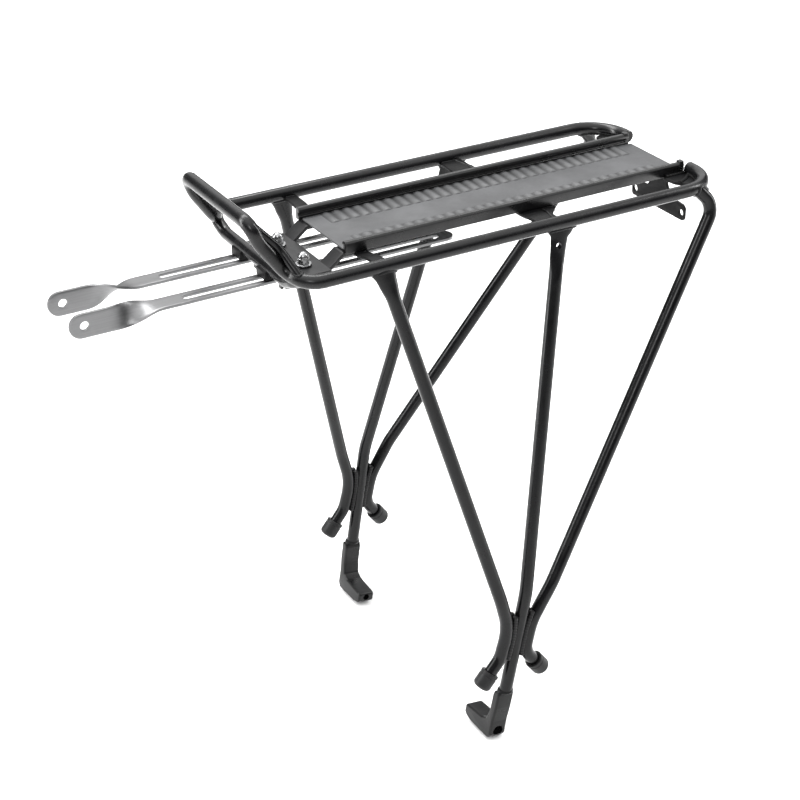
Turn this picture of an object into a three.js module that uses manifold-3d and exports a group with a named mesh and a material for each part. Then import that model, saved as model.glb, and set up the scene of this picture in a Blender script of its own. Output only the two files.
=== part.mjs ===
// Rear rack for a bicycle: bent tube frame, six legs, two feet, a platform and two adjustable stays.
// Millimetres, +Z up, +X towards the front of the bicycle, +Y to its left.
// The pieces are drawn from the frame datum: x = 0 near the foot bolts, y = 0 on the centre plane and
// z = 0 on the axis of the top rails. The group then moves the origin to the centre of the platform.
import * as THREE from "three";
import { mergeVertices } from "three/addons/utils/BufferGeometryUtils.js";
import Module from "manifold-3d";

const wasm = await Module();
wasm.setup();

// ---- driving dimensions ----
const GAP = 0.3;
const TUBE_R = 5;
const TUBE_SIDES = 14;
const BEND_STEP = THREE.MathUtils.degToRad(17);

const RAIL_Y = 72.4;
const HOOK_REAR_X = -204;
const HOOK_END_Y = 37.2;
const HOOK_BEND_R = 30;

const CROSS_R = 4.5;
const CROSS_X = 138;
const CROSS_Z = -8;

const ROD_R = 2.9;

const PLATE_FRONT_X = 86;
const PLATE_REAR_X = -202;
const PLATE_HALF_W = 31.2;
const PLATE_TOP_Z = -2.6;
const PLATE_T = 1.4;
const RIB_PITCH = 8.4;
const RIB_COUNT = 31;
const RIB_W = 3.4;
const RIB_H = 0.9;
const RIB_Y0 = 14;
const RIB_Y1 = 29.5;

const BAR_INNER_Y = 31.5;
const BAR_OUTER_Y = 36.5;
const BAR_BOTTOM_Z = -3.8;
const BAR_TOP_Z = 4.9;
const BAR_FRONT_X = 88;
const BAR_REAR_X = -200;

const STRAP_T = 2.1;
const STRAP_TOP_Z = -4.3;
const STRAP_RAISED_Z = -1.2;
const STRAP_END_Y = 70;

const SHEET_T = 2.1;
const BASE_TOP_Z = -12.8;

const STAY_Y = 19;
const STAY_W = 14.8;
const STAY_T = 2;
const STAY_TOP_Z = -15.3;
const STAY_REAR_X = -7;
const STAY_TIP_X = 281;
const STAY_TAB_W = 17.2;
const STAY_TAB_DROP = 1.8;
const TWIST_START_X = 218;
const TWIST_END_X = 255;
const SLOT_W = 6;
const SLOT_REAR_X = 4;
const SLOT_FRONT_X = 201.6;
const TIP_HOLE_X = 270.5;
const TIP_HOLE_R = 3.1;

const STAY_BOLT_X = 111.5;
const BOLT_R = 2.5;
const CLAMP_REAR_X = 101;
const CLAMP_FRONT_X = 124;
const CLAMP_T = 2;
const NOSE_FRONT_X = 130;
const NUT_HEIGHT = 4;
const NUT_ACROSS_FLATS = 8;
const WASHER_R = 5.8;
const WASHER_T = 1.2;
const HEAD_HEX_TOP = 5.2;
const HEAD_TOP = 9.6;

const FOOT_W = 14.8;
const FOOT_TILT = THREE.MathUtils.degToRad(9);
const FOOT_HOLE_Z = -387.9;
const FOOT_HOLE_X = 7.8;
const FOOT_HOLE_R = 2.75;
const FOOT_TOP_Z = -352;

const CAP_R = 7.2;
const CAP_LENGTH = 14;
const CAP_SOCKET = 8;

// ---- materials ----
const satinBlack = (tone = 0x1b1c1e) =>
  new THREE.MeshStandardMaterial({ color: tone, roughness: 0.42, metalness: 0.15 });
const frameBlack = satinBlack();
const barBlack = satinBlack(0x17181a);
const sheetBlack = satinBlack(0x1d1e20);
const plateGrey = new THREE.MeshStandardMaterial({ color: 0x303235, roughness: 0.6, metalness: 0.1 });
const capGrey = new THREE.MeshStandardMaterial({ color: 0x3a3c3f, roughness: 0.55, metalness: 0 });
const brushedSteel = new THREE.MeshStandardMaterial({ color: 0xc3c6c8, roughness: 0.33, metalness: 1 });
const zincSteel = new THREE.MeshStandardMaterial({ color: 0xaeb2b5, roughness: 0.3, metalness: 1 });

// ---- solids and geometry ----
function toSolid(geometry) {
  const bare = geometry.clone();
  bare.deleteAttribute("normal");
  bare.deleteAttribute("uv");
  const merged = mergeVertices(bare, 1e-3);
  return new wasm.Manifold(
    new wasm.Mesh({
      numProp: 3,
      vertProperties: merged.attributes.position.array,
      triVerts: new Uint32Array(merged.index.array),
    }),
  );
}

function toGeometry(solid) {
  const mesh = solid.getMesh();
  const geometry = new THREE.BufferGeometry();
  geometry.setAttribute("position", new THREE.BufferAttribute(mesh.vertProperties, 3));
  geometry.setIndex(new THREE.BufferAttribute(mesh.triVerts, 1));
  return geometry;
}

const joined = (...solids) => solids.reduce((all, one) => all.add(one));
const cut = (solid, ...tools) => tools.reduce((rest, tool) => rest.subtract(tool), solid);

function box(x0, x1, y0, y1, z0, z1) {
  const geometry = new THREE.BoxGeometry(x1 - x0, y1 - y0, z1 - z0);
  geometry.translate((x0 + x1) / 2, (y0 + y1) / 2, (z0 + z1) / 2);
  return toSolid(geometry);
}

// A cylinder about the axis "x", "y" or "z" through a point, from one end coordinate to the other.
function rod(axis, at, from, to, radius, sides = 24) {
  const geometry = new THREE.CylinderGeometry(radius, radius, to - from, sides);
  geometry.translate(0, (from + to) / 2, 0);
  if (axis === "x") geometry.rotateZ(-Math.PI / 2);
  if (axis === "z") geometry.rotateX(Math.PI / 2);
  geometry.translate(...at);
  return toSolid(geometry);
}

function circle(radius, sides) {
  const points = [];
  for (let i = 0; i < sides; i += 1) {
    const angle = (i / sides) * 2 * Math.PI;
    points.push(new THREE.Vector2(radius * Math.cos(angle), radius * Math.sin(angle)));
  }
  return new THREE.Shape(points);
}

// A curve that visits given stations exactly, so that straight runs need no extra rings.
class StationPath extends THREE.Curve {
  constructor(stations) {
    super();
    this.stations = stations;
  }
  getPointAt(u, target = new THREE.Vector3()) {
    const last = this.stations.length - 1;
    return target.copy(this.stations[Math.round(u * last)]);
  }
  getTangentAt(u, target = new THREE.Vector3()) {
    const last = this.stations.length - 1;
    const i = Math.round(u * last);
    const before = this.stations[Math.max(i - 1, 0)];
    const here = this.stations[i];
    const after = this.stations[Math.min(i + 1, last)];
    const into = here.clone().sub(before).normalize();
    const out = after.clone().sub(here).normalize();
    return target.copy(into).add(out).normalize();
  }
}

// Corners are [x, y, z, bend radius]; each inner corner becomes an arc of short chords.
function bentStations(corners) {
  const points = corners.map(([x, y, z]) => new THREE.Vector3(x, y, z));
  const stations = [points[0]];
  for (let i = 1; i < points.length - 1; i += 1) {
    const radius = corners[i][3];
    const back = points[i - 1].clone().sub(points[i]).normalize();
    const ahead = points[i + 1].clone().sub(points[i]).normalize();
    const between = back.angleTo(ahead);
    const sweepAngle = Math.PI - between;
    const start = points[i].clone().addScaledVector(back, radius / Math.tan(between / 2));
    const toCentre = back.clone().add(ahead).normalize();
    const centre = points[i].clone().addScaledVector(toCentre, radius / Math.sin(between / 2));
    const outward = start.clone().sub(centre).normalize();
    const along = back.clone().negate();
    const chords = Math.max(2, Math.ceil(sweepAngle / BEND_STEP));
    for (let k = 0; k <= chords; k += 1) {
      const angle = (sweepAngle * k) / chords;
      const point = centre.clone();
      point.addScaledVector(outward, radius * Math.cos(angle));
      point.addScaledVector(along, radius * Math.sin(angle));
      const previous = stations[stations.length - 1];
      if (previous.distanceTo(point) > 0.05) stations.push(point);
    }
  }
  stations.push(points[points.length - 1]);
  return stations;
}

function tube(corners, radius, sides = TUBE_SIDES) {
  const stations = bentStations(corners);
  const geometry = new THREE.ExtrudeGeometry(circle(radius, sides), {
    steps: stations.length - 1,
    extrudePath: new StationPath(stations),
    bevelEnabled: false,
  });
  return toSolid(geometry);
}

// Left half of a symmetric run of corners, ending at the centre plane, made whole.
function mirroredCorners(half) {
  const other = half.map(([x, y, z, r]) => [x, -y, z, r]).reverse();
  return [...half, ...other];
}

function shapeOf(points) {
  return new THREE.Shape(points.map(([a, b]) => new THREE.Vector2(a, b)));
}

// A profile drawn in (y, z) and extruded along x.
function alongX(points, x0, x1) {
  const geometry = new THREE.ExtrudeGeometry(shapeOf(points), { depth: x1 - x0, bevelEnabled: false });
  geometry.rotateX(Math.PI / 2);
  geometry.rotateZ(Math.PI / 2);
  geometry.translate(x0, 0, 0);
  return toSolid(geometry);
}

// A profile drawn in (x, z) and extruded along y.
function alongY(points, y0, y1) {
  const geometry = new THREE.ExtrudeGeometry(shapeOf(points), { depth: y1 - y0, bevelEnabled: false });
  geometry.rotateX(Math.PI / 2);
  geometry.translate(0, y1, 0);
  return toSolid(geometry);
}

// A profile drawn in (x, y) and extruded along z.
function alongZ(points, z0, z1) {
  const geometry = new THREE.ExtrudeGeometry(shapeOf(points), { depth: z1 - z0, bevelEnabled: false });
  geometry.translate(0, 0, z0);
  return toSolid(geometry);
}

// ---- the assembly ----
const rack = new THREE.Group();
rack.name = "rear_rack";

function place(name, solid, material) {
  const mesh = new THREE.Mesh(toGeometry(solid), material);
  mesh.name = name;
  rack.add(mesh);
}

// The same solid on the other side of the centre plane, with its faces turned back outwards.
function flipY(solid) {
  const geometry = toGeometry(solid);
  geometry.scale(1, -1, 1);
  const index = geometry.index;
  for (let i = 0; i < index.count; i += 3) {
    const first = index.getX(i);
    index.setX(i, index.getX(i + 1));
    index.setX(i + 1, first);
  }
  return toSolid(geometry);
}

function placePair(name, leftSolid, material) {
  place(name + "_left", leftSolid, material);
  place(name + "_right", flipY(leftSolid), material);
}

// ---- frame tube: both rails, the raised front loop and the two rear hooks in one bent tube ----
function frameTube(radius) {
  const half = [
    [HOOK_REAR_X, HOOK_END_Y, 0],
    [HOOK_REAR_X, RAIL_Y, 0, HOOK_BEND_R],
    [136, RAIL_Y, 0, 16],
    [141.5, 52.5, 2, 12],
    [158.5, 48.5, 25.5, 30],
    [164.5, 48.3, 39.5, 9],
  ];
  return tube(mirroredCorners(half), radius);
}
const frame = frameTube(TUBE_R);
const frameClear = frameTube(TUBE_R + GAP);

// ---- lower front cross tube, welded under the rails' front bends ----
function crossTube(radius) {
  const half = [
    [136, 66, 0.5],
    [138.5, 57, -3.5, 14],
    [CROSS_X, 46, CROSS_Z, 16],
  ];
  return tube(mirroredCorners(half), radius);
}
const cross = cut(crossTube(CROSS_R), frameClear);
const crossClear = crossTube(CROSS_R + GAP);

// ---- brace rods behind the sides of the loop ----
function braceRod() {
  const corners = [
    [161.5, 47.5, 37],
    [145, 50.5, 19.5, 16],
    [137, 67.2, 0.8],
  ];
  return cut(tube(corners, ROD_R, 10), frameClear, crossClear);
}

// ---- legs ----
const LEG_BEND_Z = -266;

function frontLeg(radius) {
  const corners = [
    [80.9, 73.5, 0],
    [9.3, 119.8, LEG_BEND_Z, 60],
    [1.9, 120.1, -293.5, 50],
    [8.6, 120.1, -319, 22],
    [21.6, 119.9, -334.6],
  ];
  return tube(corners, radius);
}

function middleLeg(radius) {
  const corners = [
    [-63.4, 72, 0],
    [-12.6, 120.3, LEG_BEND_Z, 60],
    [1.5, 118.3, FOOT_TOP_Z + GAP],
  ];
  return tube(corners, radius);
}

function rearLeg(radius) {
  const corners = [
    [-184, 71, 0],
    [-199, 75, -15.5, 14],
    [-35.5, 120.3, LEG_BEND_Z, 60],
    [-18.6, 120.5, -293.5, 50],
    [-13.2, 120.6, -319, 18],
    [-26.2, 120.8, -336.4],
  ];
  return tube(corners, radius);
}

// A flared sheet lug at the top of a leg; the leg's axis falls forward by slope for each millimetre down.
function legLug(topX, slope, rearSpread, frontSpread, y) {
  const outline = [
    [topX - rearSpread, -1],
    [topX + frontSpread, -1],
    [topX + frontSpread, -5.5],
    [topX + 5.2 - 15 * slope, -15],
    [topX + 3 - 34 * slope, -34],
    [topX - 3 - 34 * slope, -34],
    [topX - 5.2 - 15 * slope, -15],
    [topX - rearSpread, -5.5],
  ];
  return alongY(outline, y - 1.6, y + 1.6);
}

const legHole = rod("y", [-59.6, 0, -15.5], 60, 90, 2.2, 16);
const middleLug = legLug(-63.4, -0.191, 11.5, 12, 74.8);
const frontLug = legLug(80.9, 0.269, 13, 6, 75.4);
const middle = cut(joined(middleLeg(TUBE_R), middleLug), frameClear, legHole);
const middleClear = middleLeg(TUBE_R + GAP);
const front = cut(joined(frontLeg(TUBE_R), frontLug), frameClear, middleClear);
const rear = cut(rearLeg(TUBE_R), frameClear, middleClear);

// ---- end caps on the front and rear leg stubs ----
function stubCap(endX, endY, endZ, kneeX, kneeZ) {
  const dome = [];
  const edgeR = 2.5;
  for (let k = 0; k <= 5; k += 1) {
    const angle = (k / 5) * (Math.PI / 2);
    const out = CAP_R - edgeR + edgeR * Math.cos(angle);
    dome.push(new THREE.Vector2(out, CAP_LENGTH - edgeR + edgeR * Math.sin(angle)));
  }
  const socketR = TUBE_R + GAP;
  const profile = [
    new THREE.Vector2(0, CAP_SOCKET + GAP),
    new THREE.Vector2(socketR, CAP_SOCKET + GAP),
    new THREE.Vector2(socketR, 0),
    new THREE.Vector2(CAP_R, 0),
    ...dome,
    new THREE.Vector2(0, CAP_LENGTH),
  ];
  const geometry = new THREE.LatheGeometry(profile, 20);
  const along = new THREE.Vector3(endX - kneeX, 0, endZ - kneeZ).normalize();
  const turn = new THREE.Quaternion().setFromUnitVectors(new THREE.Vector3(0, 1, 0), along);
  geometry.translate(0, -CAP_SOCKET, 0);
  geometry.applyQuaternion(turn);
  geometry.translate(endX, endY, endZ);
  return toSolid(geometry);
}

// ---- feet: a flat arm below the middle leg and a toe turned inward, bored for the axle-side bolt ----
function foot() {
  const profile = [
    [121.5, FOOT_TOP_Z],
    [121, -366],
    [119.6, -379],
    [119.6, -391],
    [116.5, -395.2],
    [93, -395.2],
    [86.5, -393.6],
    [83.8, -391.4],
    [83.8, -384.8],
    [86, -383.6],
    [106, -382],
    [111, -379],
    [113.4, -370],
    [114, -356],
    [115.2, FOOT_TOP_Z],
  ];
  const body = alongX(profile, -FOOT_W / 2, FOOT_W / 2);
  const bore = rod("y", [0, 0, FOOT_HOLE_Z], 80, 122, FOOT_HOLE_R, 20);
  const geometry = toGeometry(cut(body, bore));
  geometry.translate(0, 0, -FOOT_HOLE_Z);
  geometry.rotateY(-FOOT_TILT);
  geometry.translate(FOOT_HOLE_X, 0, FOOT_HOLE_Z);
  return toSolid(geometry);
}

// ---- platform plate with two rows of short cross ribs ----
function platformPlate() {
  const plate = box(
    PLATE_REAR_X, PLATE_FRONT_X, -PLATE_HALF_W, PLATE_HALF_W, PLATE_TOP_Z - PLATE_T, PLATE_TOP_Z,
  );
  const first = (PLATE_REAR_X + PLATE_FRONT_X) / 2 - (RIB_PITCH * (RIB_COUNT - 1)) / 2;
  const ribs = [];
  for (let i = 0; i < RIB_COUNT; i += 1) {
    const x = first + i * RIB_PITCH;
    const low = PLATE_TOP_Z - 1;
    const high = PLATE_TOP_Z + RIB_H;
    ribs.push(box(x - RIB_W / 2, x + RIB_W / 2, RIB_Y0, RIB_Y1, low, high));
    ribs.push(box(x - RIB_W / 2, x + RIB_W / 2, -RIB_Y1, -RIB_Y0, low, high));
  }
  return joined(plate, ...ribs);
}

// ---- platform side bars: an undercut rail along each edge with a low stop at the rear end ----
function sideBar() {
  const profile = [
    [BAR_INNER_Y, BAR_BOTTOM_Z],
    [BAR_OUTER_Y, BAR_BOTTOM_Z],
    [BAR_OUTER_Y, BAR_TOP_Z - 1],
    [BAR_OUTER_Y - 1, BAR_TOP_Z],
    [BAR_INNER_Y + 1, BAR_TOP_Z],
    [BAR_INNER_Y, BAR_TOP_Z - 1],
    [BAR_INNER_Y, 1.6],
    [BAR_INNER_Y + 1.6, 1.2],
    [BAR_INNER_Y + 1.6, -0.8],
    [BAR_INNER_Y, -1.2],
  ];
  const bar = alongX(profile, BAR_REAR_X, BAR_FRONT_X);
  const stop = box(BAR_REAR_X, BAR_REAR_X + 4, BAR_INNER_Y, BAR_OUTER_Y, 0, BAR_TOP_Z + 1);
  return joined(bar, stop);
}

// ---- cross straps under the platform, raised at both ends to reach the rails ----
function crossStrap(x0, x1, endX0 = x0, endX1 = x1) {
  const upper = [
    [-STRAP_END_Y, STRAP_RAISED_Z],
    [-52, STRAP_RAISED_Z],
    [-41, STRAP_TOP_Z],
    [41, STRAP_TOP_Z],
    [52, STRAP_RAISED_Z],
    [STRAP_END_Y, STRAP_RAISED_Z],
  ];
  const lower = upper.map(([y, z]) => [y, z - STRAP_T]);
  const outline = [
    [endX0, -STRAP_END_Y],
    [endX1, -STRAP_END_Y],
    [endX1, -54],
    [x1, -38],
    [x1, 38],
    [endX1, 54],
    [endX1, STRAP_END_Y],
    [endX0, STRAP_END_Y],
    [endX0, 54],
    [x0, 38],
    [x0, -38],
    [endX0, -54],
  ];
  const sheet = alongX([...lower, ...upper.reverse()], x0, x1);
  const strap = sheet.intersect(alongZ(outline, -20, 20));
  return cut(strap, frameClear, middleClear, flipY(middleClear));
}

// ---- front bracket: a base sheet on the cross tube and two arms up to the platform ----
function frontBracket() {
  const bottom = BASE_TOP_Z - SHEET_T;
  const outline = [
    [98, -36],
    [128, -36],
    [132, -44],
    [137.5, -44],
    [137.5, -31],
    [126, -28],
    [126, 28],
    [137.5, 31],
    [137.5, 44],
    [132, 44],
    [128, 36],
    [98, 36],
  ];
  const base = alongZ(outline, bottom, BASE_TOP_Z);
  const armProfile = [
    [82, -6.8],
    [87.5, -6.8],
    [98, bottom],
    [102, bottom],
    [102, BASE_TOP_Z],
    [99, BASE_TOP_Z],
    [88.4, STRAP_TOP_Z],
    [82, STRAP_TOP_Z],
  ];
  const arms = [-1, 1].map((side) => alongY(armProfile, side * 26.5 - 6.5, side * 26.5 + 6.5));
  const holeR = BOLT_R + GAP;
  const boltHoles = [-1, 1].map((side) => rod("z", [STAY_BOLT_X, side * STAY_Y, 0], -20, -5, holeR, 18));
  return cut(joined(base, ...arms), crossClear, ...boltHoles);
}

// ---- stay fixings: a bolt with a domed hexagon head and washer through the front bracket and the stay's
// slot, a clamp plate with a small nose bent down, and a nut ----
function stayBolt() {
  const seat = BASE_TOP_Z + GAP;
  const domeR = NUT_ACROSS_FLATS / 2 - 0.1;
  const profile = [
    new THREE.Vector2(0, -25.5),
    new THREE.Vector2(BOLT_R, -25.5),
    new THREE.Vector2(BOLT_R, seat),
    new THREE.Vector2(WASHER_R, seat),
    new THREE.Vector2(WASHER_R, seat + WASHER_T),
    new THREE.Vector2(domeR, seat + WASHER_T),
  ];
  for (let k = 0; k < 6; k += 1) {
    const angle = (k / 6) * (Math.PI / 2);
    const rise = (HEAD_TOP - HEAD_HEX_TOP) * Math.sin(angle);
    profile.push(new THREE.Vector2(domeR * Math.cos(angle), seat + HEAD_HEX_TOP + rise));
  }
  profile.push(new THREE.Vector2(0, seat + HEAD_TOP));
  const geometry = new THREE.LatheGeometry(profile, 20);
  geometry.rotateX(Math.PI / 2);
  geometry.translate(STAY_BOLT_X, STAY_Y, 0);
  const hexR = NUT_ACROSS_FLATS / Math.sqrt(3);
  const flats = rod("z", [STAY_BOLT_X, STAY_Y, 0], seat + WASHER_T - 0.2, seat + HEAD_HEX_TOP, hexR, 6);
  return joined(toSolid(geometry), flats);
}

function clampPlate() {
  const outline = [
    [CLAMP_REAR_X, STAY_Y - 8],
    [CLAMP_FRONT_X - 4, STAY_Y - 8],
    [CLAMP_FRONT_X, STAY_Y - 5],
    [CLAMP_FRONT_X, STAY_Y + 5],
    [CLAMP_FRONT_X - 4, STAY_Y + 8],
    [CLAMP_REAR_X, STAY_Y + 8],
  ];
  const top = STAY_TOP_Z - STAY_T - GAP;
  const plate = alongZ(outline, top - CLAMP_T, top);
  const nose = box(CLAMP_FRONT_X - 1, NOSE_FRONT_X, STAY_Y - 2.2, STAY_Y + 2.2, top - CLAMP_T, top);
  const lip = box(NOSE_FRONT_X - CLAMP_T, NOSE_FRONT_X, STAY_Y - 2.2, STAY_Y + 2.2, -26, top);
  return cut(joined(plate, nose, lip), rod("z", [STAY_BOLT_X, STAY_Y, 0], -40, 0, BOLT_R + GAP, 18));
}

function stayNut() {
  const top = STAY_TOP_Z - STAY_T - CLAMP_T - 2 * GAP;
  const nut = rod("z", [STAY_BOLT_X, STAY_Y, 0], top - NUT_HEIGHT, top, NUT_ACROSS_FLATS / Math.sqrt(3), 6);
  return cut(nut, rod("z", [STAY_BOLT_X, STAY_Y, 0], top - NUT_HEIGHT - 1, top + 1, BOLT_R + GAP, 18));
}

// ---- saddles: small blocks under the cross tube that each stay passes beneath ----
function staySaddle() {
  const block = box(134, 144, STAY_Y - 7, STAY_Y + 7, STAY_TOP_Z + GAP, CROSS_Z);
  return cut(block, crossClear);
}

// ---- hook webs: a sheet between each rear hook and the platform's side bar ----
function hookWeb() {
  const innerY = BAR_OUTER_Y + GAP;
  const outline = [
    [-202, innerY],
    [-180, innerY],
    [-182, 49],
    [-189, 57],
    [-197, 58],
    [-202, 54],
  ];
  return cut(alongZ(outline, -5, -2.6), frameClear);
}

// ---- lamp and reflector bracket: a flange under the plate, a bent neck and an upright with two wings ----
function lampBracket() {
  const face = [
    [-32.5, -46],
    [32.5, -46],
    [32.5, -36],
    [30, -33.5],
    [14, -32],
    [9, -24],
    [9, -18],
    [-9, -18],
    [-9, -24],
    [-14, -32],
    [-30, -33.5],
    [-32.5, -36],
  ];
  const plate = alongX(face, -209.3, -207.2);
  const neck = [
    [-209.3, -19],
    [-207.2, -19],
    [-207.2, -14.4],
    [-200.2, STRAP_TOP_Z - STRAP_T],
    [-172, STRAP_TOP_Z - STRAP_T],
    [-172, STRAP_TOP_Z],
    [-201, STRAP_TOP_Z],
    [-209.3, -13.2],
  ];
  const flange = alongY(neck, -9, 9);
  const holes = [-28.5, 28.5].map((y) => rod("x", [0, y, -40], -215, -200, 2.8, 18));
  return cut(joined(plate, flange), ...holes);
}

// ---- stays: slotted strips that turn a quarter before a pierced tab ----
function stay() {
  const stationsBetween = (x0, x1, count) => {
    const list = [];
    for (let k = 0; k <= count; k += 1) list.push(x0 + ((x1 - x0) * k) / count);
    return list;
  };
  const endR = STAY_W / 2;
  const tabR = STAY_TAB_W / 2;
  const stations = [
    ...stationsBetween(STAY_REAR_X, STAY_REAR_X + endR, 5),
    ...stationsBetween(TWIST_START_X, TWIST_END_X, 12),
    ...stationsBetween(STAY_TIP_X - tabR, STAY_TIP_X, 6),
  ];
  const geometry = new THREE.BoxGeometry(1, 1, STAY_T, stations.length - 1, 1, 1);
  const position = geometry.attributes.position;
  const ease = (t) => t * t * (3 - 2 * t);
  for (let i = 0; i < position.count; i += 1) {
    const x = stations[Math.round((position.getX(i) + 0.5) * (stations.length - 1))];
    const t = THREE.MathUtils.clamp((x - TWIST_START_X) / (TWIST_END_X - TWIST_START_X), 0, 1);
    let half = THREE.MathUtils.lerp(endR, tabR, ease(t));
    const rearOver = STAY_REAR_X + endR - x;
    const tipOver = x - (STAY_TIP_X - tabR);
    if (rearOver > 0) half = Math.sqrt(Math.max(endR * endR - rearOver * rearOver, 1));
    if (tipOver > 0) half = Math.sqrt(Math.max(tabR * tabR - tipOver * tipOver, 1));
    const across = Math.sign(position.getY(i)) * half;
    const off = position.getZ(i);
    const angle = -ease(t) * (Math.PI / 2);
    position.setXYZ(
      i,
      x,
      STAY_Y + across * Math.cos(angle) - off * Math.sin(angle),
      STAY_TOP_Z - STAY_T / 2 - STAY_TAB_DROP * ease(t) + across * Math.sin(angle) + off * Math.cos(angle),
    );
  }
  const slotHalf = SLOT_W / 2;
  const slotMiddle = box(
    SLOT_REAR_X + slotHalf, SLOT_FRONT_X - slotHalf, STAY_Y - slotHalf, STAY_Y + slotHalf, -20, -10,
  );
  const slotRear = rod("z", [SLOT_REAR_X + slotHalf, STAY_Y, 0], -20, -10, slotHalf, 16);
  const slotFront = rod("z", [SLOT_FRONT_X - slotHalf, STAY_Y, 0], -20, -10, slotHalf, 16);
  const tipHoleZ = STAY_TOP_Z - STAY_T / 2 - STAY_TAB_DROP;
  const tipHole = rod("y", [TIP_HOLE_X, 0, tipHoleZ], 0, 40, TIP_HOLE_R, 20);
  return cut(toSolid(geometry), slotMiddle, slotRear, slotFront, tipHole);
}

// ---- place every piece ----
place("frame_tube", frame, frameBlack);
place("front_cross_tube", cross, frameBlack);
placePair("brace_rod", braceRod(), frameBlack);
placePair("front_leg", front, frameBlack);
placePair("middle_leg", middle, frameBlack);
placePair("rear_leg", rear, frameBlack);
placePair("foot", foot(), frameBlack);
placePair("front_stub_cap", stubCap(21.6, 119.9, -334.6, 8.6, -319), capGrey);
placePair("rear_stub_cap", stubCap(-26.2, 120.8, -336.4, -13.2, -319), capGrey);
place("platform_plate", platformPlate(), plateGrey);
placePair("platform_bar", sideBar(), barBlack);
place("front_strap", crossStrap(71, 81), sheetBlack);
place("middle_strap", crossStrap(-82, -53, -69, -51), sheetBlack);
place("front_bracket", frontBracket(), sheetBlack);
place("lamp_bracket", lampBracket(), sheetBlack);
placePair("stay", stay(), brushedSteel);
placePair("stay_bolt", stayBolt(), zincSteel);
placePair("clamp_plate", clampPlate(), sheetBlack);
placePair("stay_nut", stayNut(), zincSteel);
placePair("stay_saddle", staySaddle(), sheetBlack);
placePair("hook_web", hookWeb(), sheetBlack);

rack.position.set(-(PLATE_FRONT_X + PLATE_REAR_X) / 2, 0, -PLATE_TOP_Z);

export default rack;
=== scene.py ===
"""Rear rack for a bicycle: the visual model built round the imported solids.

Lengths in the tables are millimetres from the frame datum: x = 0 near the foot bolts, y = 0 on the
centre plane and z = 0 on the axis of the top rails. DATUM puts that point into the row frame.
"""
import math

import bmesh
import bpy
from mathutils import Matrix, Vector


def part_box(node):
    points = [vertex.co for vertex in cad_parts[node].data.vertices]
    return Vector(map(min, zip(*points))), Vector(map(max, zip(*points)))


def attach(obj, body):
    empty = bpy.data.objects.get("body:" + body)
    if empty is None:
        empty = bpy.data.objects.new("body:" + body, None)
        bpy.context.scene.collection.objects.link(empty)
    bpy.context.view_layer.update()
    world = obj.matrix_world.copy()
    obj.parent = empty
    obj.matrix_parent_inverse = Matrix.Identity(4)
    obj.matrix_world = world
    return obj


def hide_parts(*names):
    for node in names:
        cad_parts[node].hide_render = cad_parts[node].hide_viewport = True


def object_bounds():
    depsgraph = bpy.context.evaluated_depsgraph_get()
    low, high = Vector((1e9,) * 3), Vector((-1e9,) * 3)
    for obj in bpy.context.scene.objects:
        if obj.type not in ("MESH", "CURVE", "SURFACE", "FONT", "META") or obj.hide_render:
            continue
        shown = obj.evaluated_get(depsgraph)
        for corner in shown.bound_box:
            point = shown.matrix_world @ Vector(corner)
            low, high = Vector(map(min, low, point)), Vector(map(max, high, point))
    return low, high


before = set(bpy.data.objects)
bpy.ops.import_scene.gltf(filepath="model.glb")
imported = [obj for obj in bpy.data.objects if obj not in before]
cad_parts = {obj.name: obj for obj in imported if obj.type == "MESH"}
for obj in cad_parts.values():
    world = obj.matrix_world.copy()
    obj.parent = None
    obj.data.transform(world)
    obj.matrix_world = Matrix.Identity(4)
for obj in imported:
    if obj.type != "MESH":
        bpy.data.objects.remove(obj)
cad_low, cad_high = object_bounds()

MM = 0.001
PLATE_FRONT = 86.0
PLATE_TOP = -2.6
PLATE_T = 1.4
RIB_H = 0.9
plate_low, plate_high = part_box("platform_plate")
DATUM = Vector((plate_high.x - PLATE_FRONT * MM, 0, plate_high.z - (PLATE_TOP + RIB_H) * MM))

TUBE_R = 4.97
CROSS_R = 4.5
ROD_R = 2.9
RAIL_Y = 72.4
STAY_Y = 19.0
BOLT_X = 111.5
BOLT_HOLE_R = 2.8
BASE_TOP = -12.8
STRAP_TOP = -4.3
MIRROR = Matrix.Diagonal((1, -1, 1, 1))


def at(x, y, z):
    return DATUM + Vector((x, y, z)) * MM


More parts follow.
